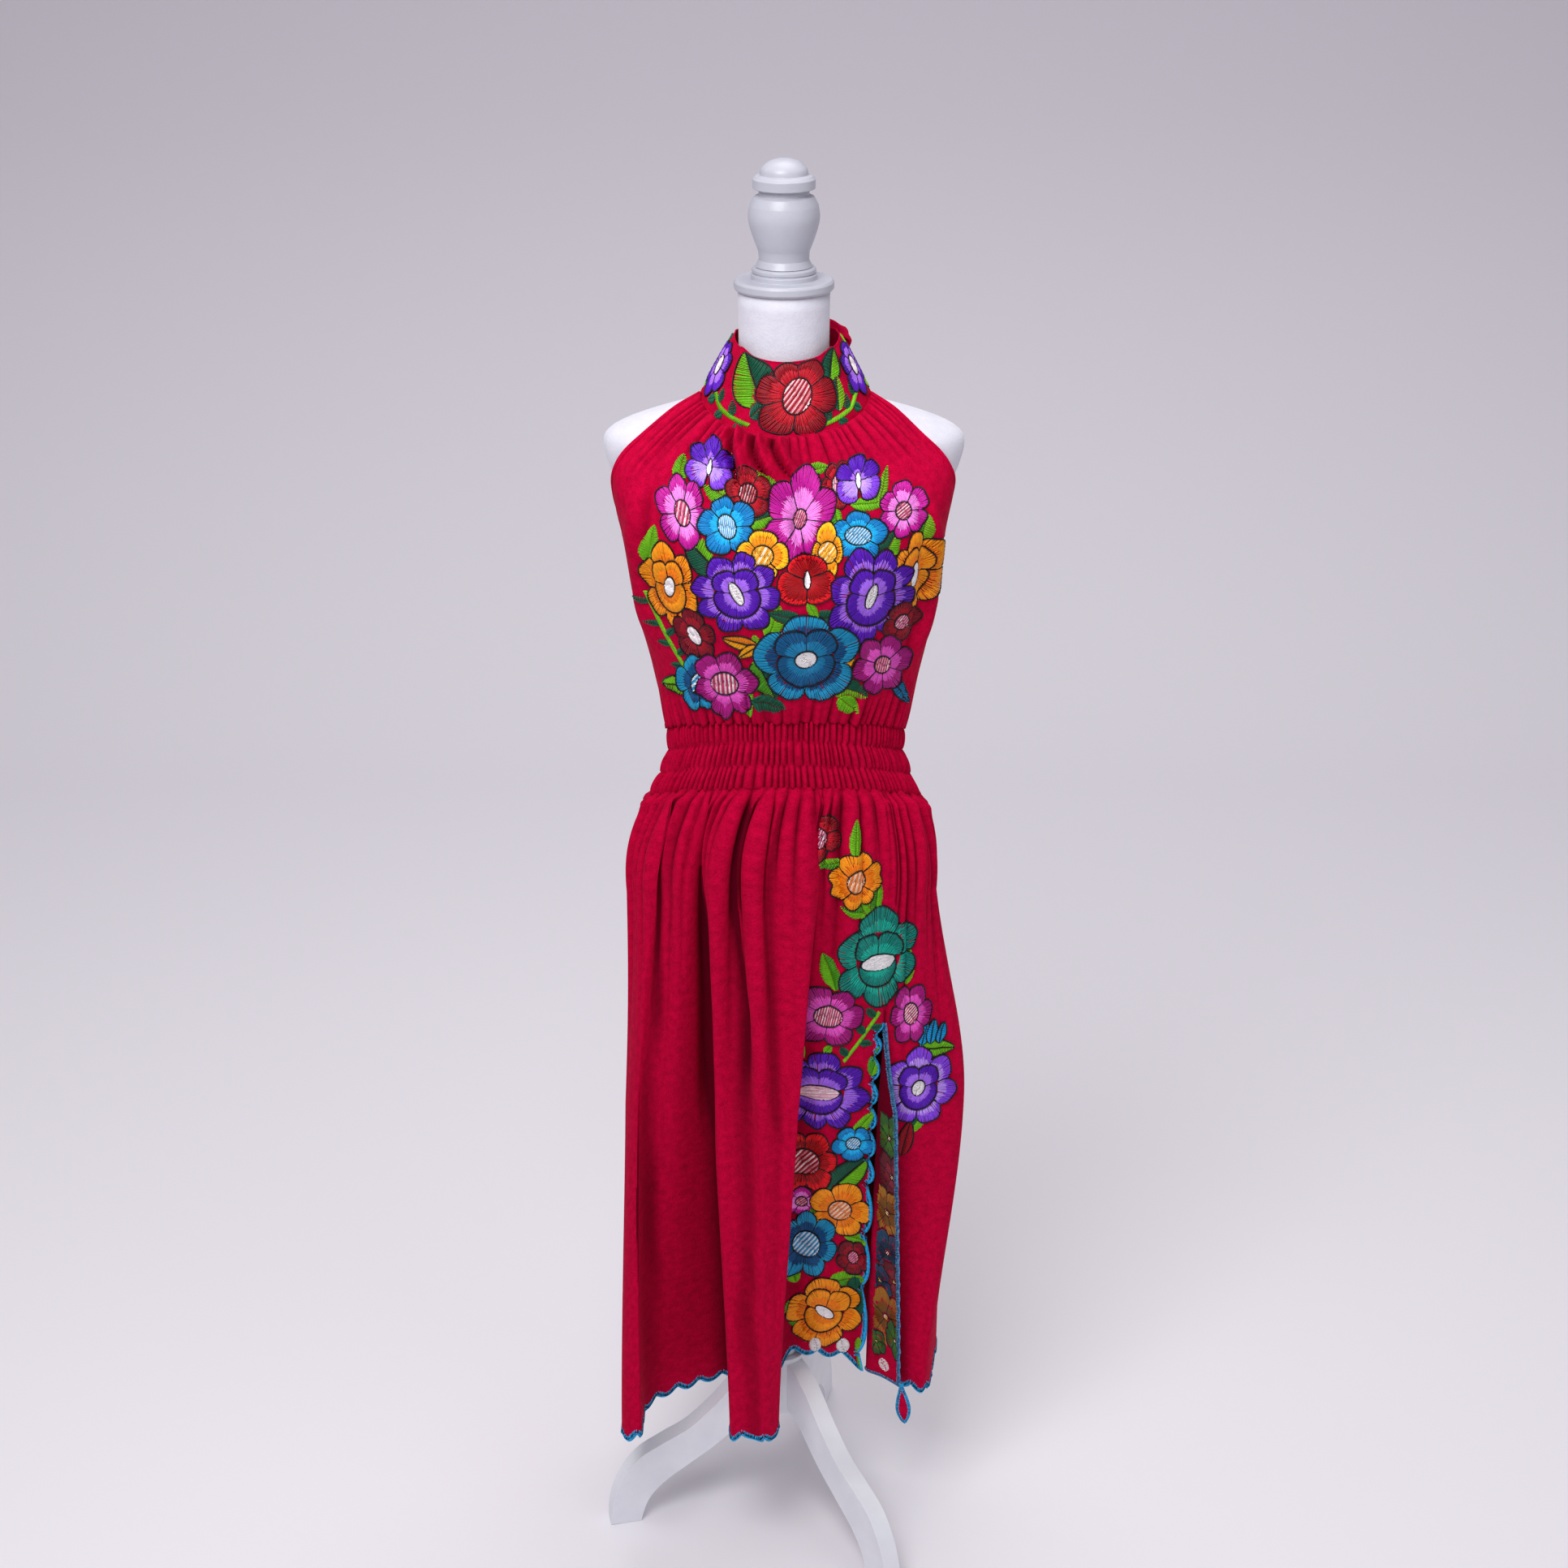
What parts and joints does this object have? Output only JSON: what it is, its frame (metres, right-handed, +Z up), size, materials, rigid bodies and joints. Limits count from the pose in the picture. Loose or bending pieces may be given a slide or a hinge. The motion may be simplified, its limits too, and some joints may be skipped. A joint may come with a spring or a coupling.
{
  "type": "high-neck halter dress on a limbless dress form with a tripod stand",
  "caption": "Midi dress with a standing embroidered collar, gathered bodice, shirred waist and slit skirt, on a limbless dress form with a painted wooden tripod.",
  "frame": {"origin": "centre of the outer box, on the floor under the feet", "axes": "+Z up the pole, -Y towards the viewer who faces the dress's front, +X to that viewer's right"},
  "size_m": [0.4208, 0.397, 1.6196],
  "materials": {
    "dress_cloth": "plain-weave red cotton with satin-stitch embroidery",
    "form_jersey": "white stretch jersey over foam",
    "painted_wood": "white satin paint on turned and sawn wood"
  },
  "bodies": {
    "root": {"form_torso": "form_jersey", "collar": "dress_cloth", "bodice_front": "dress_cloth", "bodice_back": "dress_cloth", "waist_band_front": "dress_cloth", "waist_band_back": "dress_cloth", "skirt_front": "dress_cloth", "skirt_back": "dress_cloth", "neck_disc": "painted_wood", "finial": "painted_wood", "pole": "painted_wood", "hub": "painted_wood", "leg_left": "painted_wood", "leg_front": "painted_wood", "leg_back": "painted_wood", "bow_knot": "dress_cloth", "bow_loop_right": "dress_cloth", "bow_loop_left": "dress_cloth", "bow_tail_right": "dress_cloth", "bow_tail_left": "dress_cloth"}
  },
  "joints": []
}
